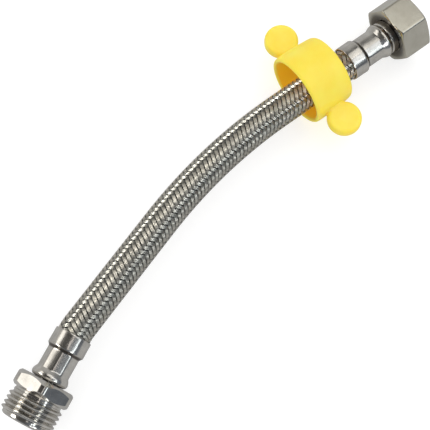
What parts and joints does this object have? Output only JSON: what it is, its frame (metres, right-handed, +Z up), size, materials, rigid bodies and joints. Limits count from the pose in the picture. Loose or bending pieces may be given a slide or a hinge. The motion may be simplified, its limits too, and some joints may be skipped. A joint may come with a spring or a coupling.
{
  "type": "braided supply line",
  "caption": "Short flexible water hose in a woven metal sleeve, with a threaded male end, crimped ferrules, a swivelling union nut and a loose eared ring wrench.",
  "frame": {"origin": "centre of the male end face, on the axis of the male thread", "axes": "+X runs from the male end face into the line, +Z is up, square to the plane that the hose bends in"},
  "size_m": [0.2162, 0.0796, 0.03],
  "materials": {
    "fitting_steel": "turned, nickel-bright",
    "ferrule_steel": "pressed, bright",
    "nut_steel": "fine satin",
    "braid_wire": "woven bright wire",
    "tube_rubber": "matt",
    "gasket_rubber": "matt",
    "ring_plastic": "soft gloss, slightly translucent"
  },
  "bodies": {
    "line": {"male_fitting": "fitting_steel", "male_ferrule": "ferrule_steel", "inner_tube": "tube_rubber", "braid_sleeve": "braid_wire", "female_ferrule": "ferrule_steel", "female_stem": "fitting_steel"},
    "seal": {"nut_gasket": "gasket_rubber"},
    "nut": {"union_nut": "nut_steel"},
    "wrench": {"wrench_ring": "ring_plastic"}
  },
  "joints": [
    {"name": "nut_float", "type": "slide", "parent": "line", "child": "seal", "axis": [0.898, -0.4399, 0], "range_m": [-0.0012, 0]},
    {"name": "nut_swivel", "type": "hinge", "parent": "seal", "child": "nut", "pos_m": [0.20546, -0.05382, 0], "axis": [0.898, -0.4399, 0], "continuous": true},
    {"name": "wrench_slide", "type": "slide", "parent": "line", "child": "wrench", "axis": [0.856, -0.517, 0], "range_m": [-0.01, 0.0301]}
  ]
}
